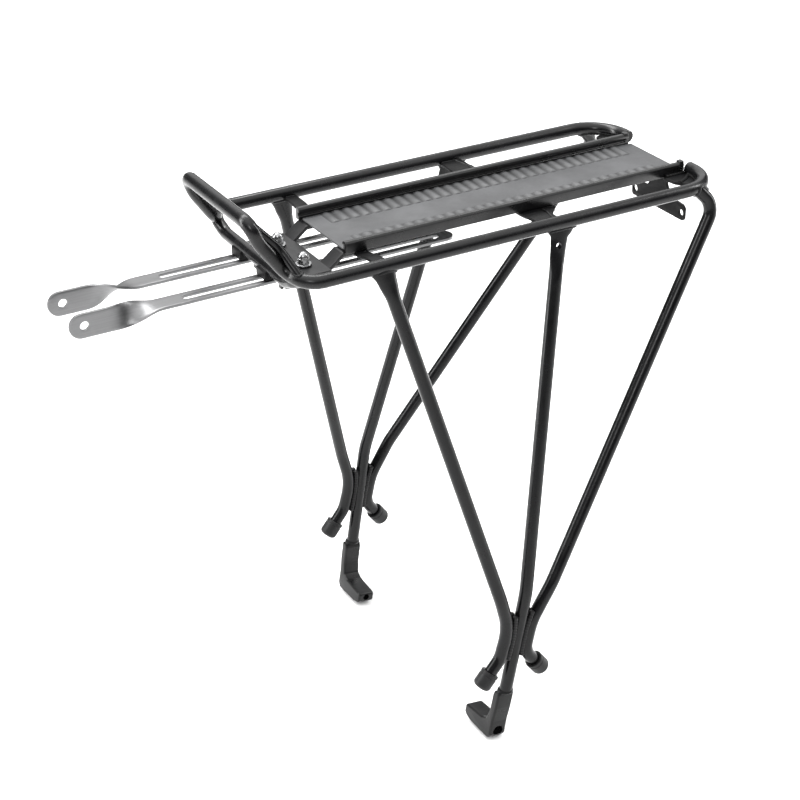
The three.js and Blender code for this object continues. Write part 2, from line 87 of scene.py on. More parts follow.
# ---- materials ----
class Nodes:
    """A node tree with short calls for the nodes that the finishes share."""

    def __init__(self, name):
        self.material = bpy.data.materials.new(name)
        self.material.use_nodes = True
        self.tree = self.material.node_tree
        self.shader = self.tree.nodes["Principled BSDF"]

    def add(self, kind, **settings):
        node = self.tree.nodes.new(kind)
        for key, value in settings.items():
            setattr(node, key, value)
        return node

    def link(self, out, into):
        self.tree.links.new(out, into)

    def noise(self, scale, stretch=(1, 1, 1), detail=4.0, roughness=0.55):
        where = self.add("ShaderNodeTexCoord")
        mapping = self.add("ShaderNodeMapping")
        mapping.inputs["Scale"].default_value = stretch
        texture = self.add("ShaderNodeTexNoise")
        texture.inputs["Scale"].default_value = scale
        texture.inputs["Detail"].default_value = detail
        texture.inputs["Roughness"].default_value = roughness
        self.link(where.outputs["Object"], mapping.inputs["Vector"])
        self.link(mapping.outputs["Vector"], texture.inputs["Vector"])
        return texture.outputs["Fac"]

    def ramp(self, value, low, high, to_low=0.0, to_high=1.0):
        node = self.add("ShaderNodeMapRange")
        node.inputs["From Min"].default_value = low
        node.inputs["From Max"].default_value = high
        node.inputs["To Min"].default_value = to_low
        node.inputs["To Max"].default_value = to_high
        self.link(value, node.inputs["Value"])
        return node.outputs["Result"]

    def mix(self, fac, first, second):
        node = self.add("ShaderNodeMix", data_type="RGBA")
        self.link(fac, node.inputs["Factor"])
        for socket, colour in ((node.inputs[6], first), (node.inputs[7], second)):
            if isinstance(colour, tuple):
                socket.default_value = (*colour, 1)
            else:
                self.link(colour, socket)
        return node.outputs[2]

    def times(self, a, b):
        node = self.add("ShaderNodeMath", operation="MULTIPLY")
        self.link(a, node.inputs[0])
        self.link(b, node.inputs[1])
        return node.outputs[0]

    def bump(self, height, strength, distance):
        node = self.add("ShaderNodeBump")
        node.inputs["Strength"].default_value = strength
        node.inputs["Distance"].default_value = distance * MM
        self.link(height, node.inputs["Height"])
        self.link(node.outputs["Normal"], self.shader.inputs["Normal"])

    def wear(self, width=0.55):
        """Edges, found where a rounded normal leaves the true one, broken up by a patchy noise."""
        geometry = self.add("ShaderNodeNewGeometry")
        softened = self.add("ShaderNodeBevel", samples=4)
        softened.inputs["Radius"].default_value = width * MM
        agree = self.add("ShaderNodeVectorMath", operation="DOT_PRODUCT")
        self.link(softened.outputs["Normal"], agree.inputs[0])
        self.link(geometry.outputs["Normal"], agree.inputs[1])
        edge = self.ramp(agree.outputs["Value"], 0.985, 0.9)
        patch = self.ramp(self.noise(160, detail=5), 0.46, 0.66)
        return self.times(edge, patch)


def tone(colour, factor):
    return tuple(min(1.0, c * factor) for c in colour)


def coated(name, colour, rough, peel=0.12, peel_scale=1400, worn=(0.1, 0.1, 0.104), sheen=0.32):
    """Powder coat or moulded plastic: fine peel, patchy gloss and lighter worn edges."""
    n = Nodes(name)
    mottled = n.mix(n.ramp(n.noise(22), 0.35, 0.65), tone(colour, 0.8), tone(colour, 1.25))
    n.link(n.mix(n.wear(), mottled, worn), n.shader.inputs["Base Color"])
    n.link(n.ramp(n.noise(75, detail=6), 0.3, 0.7, rough - 0.07, rough + 0.09), n.shader.inputs["Roughness"])
    n.shader.inputs["Specular IOR Level"].default_value = sheen
    n.bump(n.noise(peel_scale, detail=3), peel, 0.12)
    return n.material


def brushed(name, colour, rough, stretch, strength=0.25):
    """Bare metal with fine brushing along one direction and faint handling marks."""
    n = Nodes(name)
    lines = n.noise(1.0, stretch, detail=6, roughness=0.7)
    marks = n.noise(40, detail=5)
    base = n.mix(n.ramp(lines, 0.3, 0.7), tone(colour, 0.86), tone(colour, 1.08))
    n.link(n.mix(n.ramp(marks, 0.55, 0.75), base, tone(colour, 0.8)), n.shader.inputs["Base Color"])
    n.shader.inputs["Metallic"].default_value = 1.0
    n.link(n.ramp(lines, 0.2, 0.8, rough - 0.08, rough + 0.12), n.shader.inputs["Roughness"])
    n.bump(lines, strength, 0.04)
    return n.material


TUBE = coated("satin_black_tube", (0.0045, 0.0046, 0.005), 0.22, peel=0.05, worn=(0.06,) * 3, sheen=0.22)
RAIL = coated("satin_black_rail", (0.0045, 0.0046, 0.005), 0.24, peel=0.05, worn=(0.07,) * 3, sheen=0.32)
WELD = coated("coated_weld", (0.005, 0.0051, 0.0055), 0.34, 0.2, 700, worn=(0.03,) * 3, sheen=0.22)
BAR = coated("bar_black", (0.0045, 0.0045, 0.0048), 0.3, peel=0.06, worn=(0.07,) * 3, sheen=0.45)
SHEET = coated("satin_black_sheet", (0.0055, 0.0056, 0.006), 0.36, peel=0.08, worn=(0.06,) * 3)
# painted shade: a darker, duller copy of the sheet finish for the straps, hook webs and their welds, saddles
# and lamp bracket, standing in for the shade that falls on them
SHADED_SHEET = coated("shaded_dull_black_sheet", (0.0028, 0.0028, 0.003), 0.5, peel=0.1, worn=(0.03,) * 3, sheen=0.12)
PLATE = coated("plate_grey", (0.064, 0.065, 0.067), 0.5, 0.35, 1100, worn=(0.13,) * 3)
CAP = coated("cap_grey", (0.0105, 0.0107, 0.011), 0.45, 0.2, 900, worn=(0.03,) * 3, sheen=0.25)
FOOT = coated("foot_coat", (0.0042, 0.0043, 0.0045), 0.32, 0.18, 600, worn=(0.08,) * 3, sheen=0.24)
STEEL = brushed("brushed_strip", (0.185, 0.186, 0.188), 0.36, (6, 900, 900), strength=0.1)
ZINC = brushed("zinc_plate", (0.34, 0.343, 0.348), 0.24, (260, 260, 900), strength=0.12)


def ribbed():
    """The plate's colour on its cross ribs: painted shade darkens the valleys, and the ridges carry a
    mottled grey a little lighter than the plate as painted light.
    """
    n = Nodes("plate_ribs")
    where = n.add("ShaderNodeTexCoord")
    axes = n.add("ShaderNodeSeparateXYZ")
    n.link(where.outputs["Object"], axes.inputs["Vector"])
    level = at(0, 0, PLATE_TOP).z
    # height runs from the valley floor to the ridge tops and mixes the painted valley shade into the
    # mottled, slightly lighter ridge grey
    height = n.ramp(axes.outputs["Z"], level + 0.1 * MM, level + 0.75 * MM)
    mottled = n.mix(n.ramp(n.noise(30), 0.35, 0.65), (0.068, 0.069, 0.071), (0.09, 0.091, 0.093))
    n.link(n.mix(height, (0.031, 0.0312, 0.032), mottled), n.shader.inputs["Base Color"])
    n.link(n.ramp(n.noise(75, detail=6), 0.3, 0.7, 0.42, 0.58), n.shader.inputs["Roughness"])
    n.shader.inputs["Specular IOR Level"].default_value = 0.32
    n.bump(n.noise(1100, detail=3), 0.3, 0.12)
    return n.material


RIB = ribbed()


# ---- mesh helpers ----
def to_mesh(bm, name, sharp=38):
    """The bmesh as a mesh, smooth apart from the edges that turn more than sharp degrees."""
    bmesh.ops.recalc_face_normals(bm, faces=bm.faces)
    for face in bm.faces:
        face.smooth = True
    for edge in bm.edges:
        if len(edge.link_faces) == 2:
            edge.smooth = edge.calc_face_angle(0) < math.radians(sharp)
    mesh = bpy.data.meshes.new(name)
    bm.to_mesh(mesh)
    bm.free()
    return mesh


def show(name, mesh, body, material, slot, *nodes):
    piece = bpy.data.objects.new(name, mesh)
    bpy.context.scene.collection.objects.link(piece)
    mesh.materials.clear()
    mesh.materials.append(material)
    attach(piece, body)
    if nodes:
        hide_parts(*nodes)
    return piece


def show_pair(name, mesh, body, material, slot, *nodes):
    """The left piece as made and the right one mirrored; {} in a name stands for the side."""
    other = mesh.copy()
    other.transform(MIRROR)
    other.flip_normals()
    for side, data in (("left", mesh), ("right", other)):
        stood_for = [n.format(side) for n in nodes]
        show(name + "_" + side, data, body.format(side), material, slot, *stood_for)


def prism(outline, axis, low, high):
    """A closed outline in the two other axes, in X, Y, Z order, extruded from low to high."""
    bm = bmesh.new()
    order = {"x": lambda a, b, c: (c, a, b), "y": lambda a, b, c: (a, c, b), "z": lambda a, b, c: (a, b, c)}
    rings = [[bm.verts.new(at(*order[axis](a, b, c))) for a, b in outline] for c in (low, high)]
    bm.faces.new(rings[0])
    bm.faces.new(rings[1])
    count = len(outline)
    for i in range(count):
        j = (i + 1) % count
        bm.faces.new((rings[0][i], rings[0][j], rings[1][j], rings[1][i]))
    return bm


def eased(start, corner, end, steps):
    """Points of a curve that leaves start towards the corner and comes to end from it."""
    shares = [k / steps for k in range(steps + 1)]
    return [tuple((1 - t) ** 2 * start + 2 * t * (1 - t) * corner + t * t * end) for t in shares]


def rounded(points, radius, steps=5):
    """The outline with each corner filleted, as far as its sides allow."""
    out = []
    count = len(points)
    for i, point in enumerate(points):
        here = Vector(point)
        back = Vector(points[i - 1]) - here
        ahead = Vector(points[(i + 1) % count]) - here
        angle = back.angle(ahead)
        reach = min(radius / math.tan(angle / 2), 0.46 * back.length, 0.46 * ahead.length)
        start = here + back.normalized() * reach
        end = here + ahead.normalized() * reach
        out += eased(start, here, end, steps)
    return out


def oval(cx, cy, half_x, half_y, count):
    turn = [2 * math.pi * i / count for i in range(count)]
    return [(cx + half_x * math.cos(a), cy + half_y * math.sin(a)) for a in turn]


def disc(cx, cy, radius, count=40):
    return oval(cx, cy, radius, radius, count)


def arc(cx, cy, radius, start, end, count=8):
    """Part of a circle, from one angle to another in degrees."""
    turn = [math.radians(start + (end - start) * k / count) for k in range(count + 1)]
    return [(cx + radius * math.cos(a), cy + radius * math.sin(a)) for a in turn]


def oblong(x0, x1, y, half, count=20):
    """A slot outline with round ends."""
    return arc(x0 + half, y, half, 90, 270, count) + arc(x1 - half, y, half, -90, 90, count)


def merge(*parts):
    """Several bmeshes in one."""
    first = parts[0]
    for part in parts[1:]:
        mesh = bpy.data.meshes.new("part")
        part.to_mesh(mesh)
        part.free()
        first.from_mesh(mesh)
        bpy.data.meshes.remove(mesh)
    return first


def machined(body, name, cutters=(), adders=(), bevel=0.4, segments=3, sharp=38, angle=30):
    """The body with its additions joined, its holes cut and its edges rounded."""
    helpers = []

    def helper(bm):
        bmesh.ops.recalc_face_normals(bm, faces=bm.faces)
        mesh = bpy.data.meshes.new("helper")
        bm.to_mesh(mesh)
        bm.free()
        obj = bpy.data.objects.new("helper", mesh)
        bpy.context.scene.collection.objects.link(obj)
        helpers.append(obj)
        return obj

    base = helper(body)
    for operation, tools in (("UNION", adders), ("DIFFERENCE", cutters)):
        for tool in tools:
            boolean = base.modifiers.new("boolean", "BOOLEAN")
            boolean.operation = operation
            boolean.solver = "EXACT"
            boolean.object = helper(tool)
    if bevel:
        edge = base.modifiers.new("bevel", "BEVEL")
        edge.width = bevel * MM
        edge.segments = segments
        edge.limit_method = "ANGLE"
        edge.angle_limit = math.radians(angle)
    bpy.context.view_layer.update()
    baked = bpy.data.meshes.new_from_object(base.evaluated_get(bpy.context.evaluated_depsgraph_get()))
    bm = bmesh.new()
    bm.from_mesh(baked)
    bpy.data.meshes.remove(baked)
    for obj in helpers:
        mesh = obj.data
        bpy.data.objects.remove(obj)
        bpy.data.meshes.remove(mesh)
    return to_mesh(bm, name, sharp)


# ---- tubes ----
def bent_line(corners, step=math.radians(3.5)):
    """Corners are (x, y, z, bend radius); each inner corner becomes an arc."""
    points = [Vector(c[:3]) for c in corners]
    line = [points[0]]
    for i in range(1, len(points) - 1):
        radius = corners[i][3]
        back = (points[i - 1] - points[i]).normalized()
        ahead = (points[i + 1] - points[i]).normalized()
        between = back.angle(ahead)
        turn = math.pi - between
        start = points[i] + back * (radius / math.tan(between / 2))
        centre = points[i] + (back + ahead).normalized() * (radius / math.sin(between / 2))
        outward = (start - centre).normalized()
        count = max(4, math.ceil(turn / step))
        for k in range(count + 1):
            a = turn * k / count
            line.append(centre + outward * (radius * math.cos(a)) - back * (radius * math.sin(a)))
    line.append(points[-1])
    return line


def halves(half):
    """Corners of the left half and their mirror images."""
    return list(half) + [(x, -y, z, r) for x, y, z, r in reversed(half)]


def directions(line, closed=False):
    out = []
    last = len(line) - 1
    for i, point in enumerate(line):
        before = line[i - 1] if closed or i else point
        after = line[(i + 1) % len(line)] if closed or i < last else point
        out.append((after - before).normalized())
    return out


def sweep(line, radius, sides=28, closed=False, edge=0.6, reach=None):
    """A round bar along a line; reach(i) may give (along x, across) half widths in place of the radius."""
    bm = bmesh.new()
    ways = directions(line, closed)
    normal = ways[0].orthogonal().normalized()
    rings = []
    stations = [(p, w, 1.0, i) for i, (p, w) in enumerate(zip(line, ways))]
    if not closed:
        p, w = line[0], ways[0]
        stations.insert(0, (p, w, 1 - edge / radius(0), 0))
        stations[1] = (p + w * edge, w, 1.0, 0)
        p, w = line[-1], ways[-1]
        stations[-1] = (p - w * edge, w, 1.0, len(line) - 1)
        stations.append((p, w, 1 - edge / radius(len(line) - 1), len(line) - 1))
    previous = ways[0]
    for point, way, share, i in stations:
        normal = previous.rotation_difference(way) @ normal
        previous = way
        if reach:
            u = (Vector((1, 0, 0)) - way * way.x).normalized()
            half_u, half_v = reach(i)
        else:
            u = normal
            half_u = half_v = radius(i)
        v = way.cross(u)
        ring = []
        for k in range(sides):
            a = 2 * math.pi * k / sides
            spot = point + u * (half_u * share * math.cos(a)) + v * (half_v * share * math.sin(a))
            ring.append(bm.verts.new(at(*spot)))
        rings.append(ring)
    pairs = list(zip(rings, rings[1:])) + ([(rings[-1], rings[0])] if closed else [])
    for one, two in pairs:
        for k in range(sides):
            j = (k + 1) % sides
            bm.faces.new((one[k], one[j], two[j], two[k]))
    if not closed:
        bm.faces.new(rings[0])
        bm.faces.new(rings[-1])
    return bm


def dense(line, spacing=3.5):
    """The same line with its long spans divided."""
    out = [line[0]]
    for a, b in zip(line, line[1:]):
        count = max(1, math.ceil((b - a).length / spacing))
        out += [a.lerp(b, k / count) for k in range(1, count + 1)]
    return out


def tube(corners, radius, sides=28, reach=None):
    line = dense(bent_line(corners), 3.5 if reach else 12)
    half_widths = (lambda i: reach(line[i])) if reach else None
    return sweep(line, lambda i: radius, sides, reach=half_widths)


# ---- welds ----
def length_of(spans):
    return sum((b - a).length for a, b in spans)


def bead(line, size=1.5, closed=True, pitch=1.7):
    """A rippled bead of weld along a line, with a ripple every pitch."""
    spans = list(zip(line, line[1:]))
    count = max(24, int(length_of(spans) / 0.45))
    if closed:
        spans.append((line[-1], line[0]))
    step = length_of(spans) / count
    fine = []
    walked = 0.0
    target = 0.0
    for a, b in spans:
        span = (b - a).length
        while target < walked + span and len(fine) < count:
            fine.append(a.lerp(b, (target - walked) / span))
            target += step
        walked += span

    def ripple(i):
        return size * (0.9 + 0.16 * abs(math.sin(math.pi * i * step / pitch)))

    return sweep(fine, ripple, 10, closed=closed, edge=0.4)


def joint_ring(start, way, radius, through, axis, other, count=64):
    """Where a bar of one radius, from start along way, meets the round bar about axis through a point."""
    way = way.normalized()
    axis = axis.normalized()
    u = way.orthogonal().normalized()
    v = way.cross(u)
    ring = []
    for k in range(count):
        a = 2 * math.pi * k / count
        point = start + u * (radius * math.cos(a)) + v * (radius * math.sin(a))
        away = point - through
        away -= axis * away.dot(axis)
        run = way - axis * way.dot(axis)
        qa = run.length_squared
        qb = 2 * away.dot(run)
        qc = away.length_squared - other * other
        inside = max(0.0, qb * qb - 4 * qa * qc)
        ring.append(point + way * ((-qb + math.sqrt(inside)) / (2 * qa)))
    return ring


def ring_bead(line_start, line_next, radius, through, axis, other, size=1.4):
    start = Vector(line_start)
    way = Vector(line_next) - start
    return bead(joint_ring(start, way, radius, Vector(through), Vector(axis), other), size)


# ---- frame tube, cross tube and brace rods ----
HOOK_X = -204.0
FRAME_HALF = [
    (HOOK_X, 37.2, 0, 0),
    (HOOK_X, RAIL_Y, 0, 30),
    (136, RAIL_Y, 0, 16),
    (141.5, 52.5, 2, 12),
    (158.5, 48.5, 25.5, 30),
    (164.5, 48.3, 39.5, 9),
]
CROSS_HALF = [(136, 66, 0.5, 0), (138.5, 57, -3.5, 14), (138, 46, -8, 16)]
ROD = [(161.5, 47.5, 37, 0), (145, 50.5, 19.5, 16), (137, 67.2, 0.8, 0)]

frame_mesh = to_mesh(tube(halves(FRAME_HALF), TUBE_R, 32), "frame_tube_fine")
show("frame_tube_fine", frame_mesh, "frame", RAIL, "tube_black", "frame_tube")
cross_mesh = to_mesh(tube(halves(CROSS_HALF), CROSS_R), "cross_tube_fine")
show("cross_tube_fine", cross_mesh, "frame", RAIL, "tube_black", "front_cross_tube")
rod_mesh = to_mesh(tube(ROD, ROD_R, 20), "brace_rod_fine")
show_pair("brace_rod_fine", rod_mesh, "frame", TUBE, "tube_black", "brace_rod_{}")

# ---- legs ----
FRONT_LEG = [
    (80.9, 73.5, 0, 0),
    (9.3, 119.8, -266, 60),
    (1.9, 120.1, -293.5, 50),
    (8.6, 120.1, -319, 22),
    (21.6, 119.9, -334.6, 0),
]
MIDDLE_LEG = [(-63.4, 72, 0, 0), (-12.6, 120.3, -266, 60), (1.5, 118.3, -354, 0)]
REAR_LEG = [
    (-184, 71, 0, 0),
    (-199, 75, -15.5, 14),
    (-35.5, 120.3, -266, 60),
    (-18.6, 120.5, -293.5, 50),
    (-13.2, 120.6, -319, 18),
    (-26.2, 120.8, -336.4, 0),
]


def flare(widths):
    """Half widths that change with height, from (z, along x, across) rows."""

    def at_height(point):
        for (z0, a0, b0), (z1, a1, b1) in zip(widths, widths[1:]):
            if point.z >= z1:
                t = min(1.0, max(0.0, (z0 - point.z) / (z0 - z1)))
                t = t * t * (3 - 2 * t)
                return a0 + (a1 - a0) * t, b0 + (b1 - b0) * t
        return TUBE_R, TUBE_R

    return at_height


MIDDLE_FLARE = [(-3, 12, 1.7), (-6, 10.5, 1.7), (-10.5, 7.2, 1.8), (-20, 6.4, 2.1), (-38, TUBE_R, TUBE_R)]
FRONT_FLARE = [(-3, 9.2, 3.4), (-9, 7.2, 3.9), (-24, TUBE_R, TUBE_R)]
LEG_HOLE_X, LEG_HOLE_Z, LEG_HOLE_R = -59.6, -15.5, 2.2

middle_leg = tube(MIDDLE_LEG, TUBE_R, 28, flare(MIDDLE_FLARE))
leg_hole = prism(disc(LEG_HOLE_X, LEG_HOLE_Z, LEG_HOLE_R), "y", 60, 90)
middle_mesh = machined(middle_leg, "middle_leg_fine", cutters=[leg_hole], bevel=0)
show_pair("middle_leg_fine", middle_mesh, "frame", TUBE, "tube_black", "middle_leg_{}")
front_mesh = to_mesh(tube(FRONT_LEG, TUBE_R, 28, flare(FRONT_FLARE)), "front_leg_fine")
show_pair("front_leg_fine", front_mesh, "frame", TUBE, "tube_black", "front_leg_{}")
rear_mesh = to_mesh(tube(REAR_LEG, TUBE_R), "rear_leg_fine")
show_pair("rear_leg_fine", rear_mesh, "frame", TUBE, "tube_black", "rear_leg_{}")


# ---- weld beads ----
def lug_ring(x, y, half_x, half_y, tilt):
    """The closed line round a flattened leg top where it meets the underside of the rail."""
    ring = []
    for px, py in oval(x, y, half_x, half_y, 60):
        drop = math.sqrt(max(0.3, TUBE_R**2 - min(abs(py - RAIL_Y), TUBE_R) ** 2))
        ring.append(Vector((px + tilt * drop, py, -drop)))
    return ring


def crotch(leg, low, high, offset):
    """A line between a leg and the middle leg over a range of heights."""
    mine = bent_line(leg)
    other = bent_line(MIDDLE_LEG)

    def point_at(line, z):
        for a, b in zip(line, line[1:]):
            if b.z <= z <= a.z:
                return a.lerp(b, (a.z - z) / (a.z - b.z))
        return line[-1]

    out = []
    for k in range(13):
        z = high + (low - high) * k / 12
        middle = (point_at(mine, z) + point_at(other, z)) / 2
        out.append(middle + Vector((0, offset, 0)))
    return out


welds = [
    bead(lug_ring(-63.9, 72.6, 11.4, 2.4, -0.1), 1.2),
    bead(lug_ring(80.3, 73.0, 9.0, 3.6, -0.2), 1.2),
    ring_bead((-189, 72.3, -5.2), (-196, 74.2, -12.4), TUBE_R, (-184, 70.6, 0), (1, 0.25, 0), TUBE_R, 1.3),
    ring_bead(ROD[2][:3], ROD[1][:3], ROD_R, (136.2, 66.5, 0.6), (0.63, -0.77, 0.05), TUBE_R, 0.9),
]
for leg in (FRONT_LEG, REAR_LEG):
    for offset in (-2.5, 2.5):
        welds.append(bead(crotch(leg, -321, -283, offset), 2.1, closed=False, pitch=2.4))
weld_mesh = to_mesh(merge(*welds), "weld_beads", sharp=60)
show_pair("weld_beads", weld_mesh, "frame", WELD, "tube_black")

# ---- end caps on the leg stubs ----
def lathe(profile, sides=48):
    """A profile of (radius, height) turned about +Z at the origin, in millimetres."""
    bm = bmesh.new()
    rings = []
    for radius, height in profile:
        if radius < 1e-6:
            rings.append([bm.verts.new((0, 0, height))])
            continue
        angles = [2 * math.pi * k / sides for k in range(sides)]
        rings.append([bm.verts.new((radius * math.cos(a), radius * math.sin(a), height)) for a in angles])
    for one, two in zip(rings, rings[1:]):
        for k in range(sides):
            j = (k + 1) % sides
            face = [one[k % len(one)], one[j % len(one)], two[j % len(two)], two[k % len(two)]]
            bm.faces.new(list(dict.fromkeys(face)))
    return bm


def aimed(bm, point, way):
    """The turned piece moved so that its axis runs from point along way."""
    turn = Vector((0, 0, 1)).rotation_difference(Vector(way)).to_matrix().to_4x4()
    matrix = Matrix.Translation(at(*point)) @ turn @ Matrix.Scale(MM, 4)
    bmesh.ops.transform(bm, matrix=matrix, verts=bm.verts)
    return bm


CAP_PROFILE = [(5.1, 1.2), (5.1, 0.3), (5.5, 0)] + arc(6.6, 0.5, 0.5, -90, 0, 4)
CAP_PROFILE += [(7.1, 2.2), (6.75, 2.6), (6.75, 3.2), (7.1, 3.6)] + arc(3.9, 10.7, 3.2, 0, 90, 10)
CAP_PROFILE += [(1.6, 13.9), (1.3, 13.6), (0, 13.5)]
for which, leg in (("front", FRONT_LEG), ("rear", REAR_LEG)):
    end, knee = Vector(leg[-1][:3]), Vector(leg[-2][:3])
    way = (end - knee).normalized()
    cap = aimed(lathe(CAP_PROFILE), end - way * 8, way)
    mesh = to_mesh(cap, which + "_cap_fine")
    show_pair(which + "_cap_fine", mesh, "frame", CAP, "cap_grey", which + "_stub_cap_{}")

# ---- feet ----
FOOT_HALF_W = 7.3
FOOT_TOP = -352
HOLE_X, HOLE_Z = 7.8, -387.9
BORE_R, SEAT_R = 2.75, 4.4
FOOT_TILT = 9
FOOT_PROFILE = [
    (121.4, FOOT_TOP),
    (120.9, -366),
    (119.5, -379),
    (119.5, -391),
    (116.4, -395.1),
    (93, -395.1),
    (86.6, -393.5),
    (83.9, -391.3),
    (83.9, -384.9),
    (86.1, -383.7),
    (106, -382),
    (111.3, -379.3),
    (113.4, -370),
    (114, -356),
    (115.2, FOOT_TOP),
]
foot_solid = prism(rounded(FOOT_PROFILE, 2.4), "x", -FOOT_HALF_W, FOOT_HALF_W)
foot_block = machined(foot_solid, "foot_block", bevel=3.2, segments=6)
foot_body = bmesh.new()
foot_body.from_mesh(foot_block)
bpy.data.meshes.remove(foot_block)
foot_bore = prism(disc(0, HOLE_Z, BORE_R), "y", 80, 125)
foot_seat = prism(disc(0, HOLE_Z, SEAT_R), "y", 115.5, 125)
foot_mesh = machined(foot_body, "foot_fine", cutters=[foot_seat, foot_bore], bevel=0)
lean = Matrix.Rotation(math.radians(-FOOT_TILT), 4, "Y")
foot_mesh.transform(Matrix.Translation(at(HOLE_X, 0, HOLE_Z)) @ lean @ Matrix.Translation(-at(0, 0, HOLE_Z)))
show_pair("foot_fine", foot_mesh, "frame", FOOT, "tube_black", "foot_{}")
collar = [Vector((x, y, FOOT_TOP + 0.1)) for x, y in oval(1.5, 118.3, 5.2, 4.6, 48)]
show_pair("foot_weld", to_mesh(bead(collar, 1.1), "foot_weld", sharp=60), "frame", WELD, "tube_black")

# ---- platform ----
half_w = plate_high.y / MM - 0.05
plate_rear = (plate_low.x - DATUM.x) / MM
plate_outline = [(plate_rear, -half_w), (PLATE_FRONT, -half_w), (PLATE_FRONT, half_w), (plate_rear, half_w)]
plate = prism(rounded(plate_outline, 2.0), "z", PLATE_TOP - PLATE_T, PLATE_TOP)
plate_mesh = machined(plate, "platform_plate_fine", bevel=0.45)
show("platform_plate_fine", plate_mesh, "frame", PLATE, "plate_grey", "platform_plate")

RIBS = 31
RIB_PITCH = 8.4
middle_x = (PLATE_FRONT + plate_rear) / 2


def rib_row(side):
    """One row of cross ribs as a single waved skin that dips into the plate all round."""
    bm = bmesh.new()
    start = middle_x - RIBS * RIB_PITCH / 2
    steps = 14
    stations = [(30.9, 0.0), (30.4, 1.0), (14.6, 1.0), (13.2, 0.75), (12.4, 0.0)]
    rows = []
    for y, share in stations:
        row = []
        for i in range(RIBS * steps + 1):
            x = start + i * RIB_PITCH / steps
            wave = (0.5 - 0.5 * math.cos(2 * math.pi * i / steps)) ** 0.8
            edge = 0.0 if i in (0, RIBS * steps) else 1.0
            z = -0.15 + share * edge * (0.2 + (RIB_H - 0.07) * wave)
            row.append(bm.verts.new(at(x, side * y, PLATE_TOP + z)))
        rows.append(row)
    for one, two in zip(rows, rows[1:]):
        for i in range(len(one) - 1):
            bm.faces.new((one[i], one[i + 1], two[i + 1], two[i]))
    return bm


ribs = merge(rib_row(-1), rib_row(1))
show("platform_ribs", to_mesh(ribs, "platform_ribs", sharp=80), "frame", RIB, "plate_grey")

bar_low, bar_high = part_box("platform_bar_left")
bar_x0, bar_x1 = (bar_low.x - DATUM.x) / MM, (bar_high.x - DATUM.x) / MM
y0, y1 = bar_low.y / MM, bar_high.y / MM
BAR_PROFILE = [
    (y0, -3.8), (y1, -3.8), (y1, 3.5), (y1 - 1.3, 4.85), (y0 + 1.3, 4.85), (y0, 3.5),
    (y0, 1.9), (y0 + 1.5, 1.5), (y0 + 1.5, -0.9), (y0, -1.3),
]
bar = prism(rounded(BAR_PROFILE, 0.5, 3), "x", bar_x0, bar_x1)
stop_outline = [(bar_x0, y0 + 0.05), (bar_x0 + 4, y0 + 0.05), (bar_x0 + 4, y1 - 0.05), (bar_x0, y1 - 0.05)]
stop = prism(rounded(stop_outline, 0.8, 3), "z", 0, 5.85)
bar_mesh = machined(bar, "platform_bar_fine", adders=[stop], bevel=0.25, segments=2)
show_pair("platform_bar_fine", bar_mesh, "frame", BAR, "bar_black", "platform_bar_{}")


# ---- straps ----
def bent_sheet(profile, thickness, steps=6, radius=5.0):
    """A strip section: the upper line, with rounded bends, and the same line one thickness lower."""
    upper = []
    for i, point in enumerate(profile):
        if i in (0, len(profile) - 1):
            upper.append(point)
            continue
        here = Vector(point)
        back = Vector(profile[i - 1]) - here
        ahead = Vector(profile[i + 1]) - here
        start = here + back.normalized() * min(radius, back.length * 0.4)
        end = here + ahead.normalized() * min(radius, ahead.length * 0.4)
        upper += eased(start, here, end, steps)
    lower = [(a, b - thickness) for a, b in upper]
    return upper + lower[::-1]


STRAP_T = 2.1
STRAP_LINE = [(-69.5, -1.2), (-52, -1.2), (-41, STRAP_TOP), (41, STRAP_TOP), (52, -1.2), (69.5, -1.2)]


def strap(name, x0, x1, end0, end1, node):
    section = bent_sheet(STRAP_LINE, STRAP_T)
    bm = prism(section, "x", 0, 1)
    for vert in bm.verts:
        local = (vert.co - DATUM) / MM
        share = min(1.0, max(0.0, (abs(local.y) - 38) / 16))
        share = share * share * (3 - 2 * share)
        low = x0 + (end0 - x0) * share
        high = x1 + (end1 - x1) * share
        vert.co.x = at(low if local.x < 0.5 else high, 0, 0).x
    mesh = machined(bm, name, bevel=0.5, segments=3, angle=50)
    show(name, mesh, "frame", SHADED_SHEET, "sheet_black", node)


strap("front_strap_fine", 71, 81, 71, 81, "front_strap")
strap("middle_strap_fine", -82, -53, -69, -51, "middle_strap")
strap_welds = []
for x0, x1 in ((71, 81), (-69, -51)):
    for dz in (-1.4, -3.1):
        line = [Vector((x, RAIL_Y - math.sqrt(TUBE_R**2 - dz**2) - 0.1, dz)) for x in (x0 + 0.6, x1 - 0.6)]
        strap_welds.append(bead(line, 0.8, closed=False, pitch=1.4))
crease = [Vector((-71.2, 38, -4.1)), Vector((-67.5, 50, -1.6)), Vector((-63.4, 66, -1.1))]
strap_welds.append(bead(crease, 0.7, closed=False, pitch=9))
show_pair("strap_weld", to_mesh(merge(*strap_welds), "strap_weld", sharp=60), "frame", WELD, "tube_black")

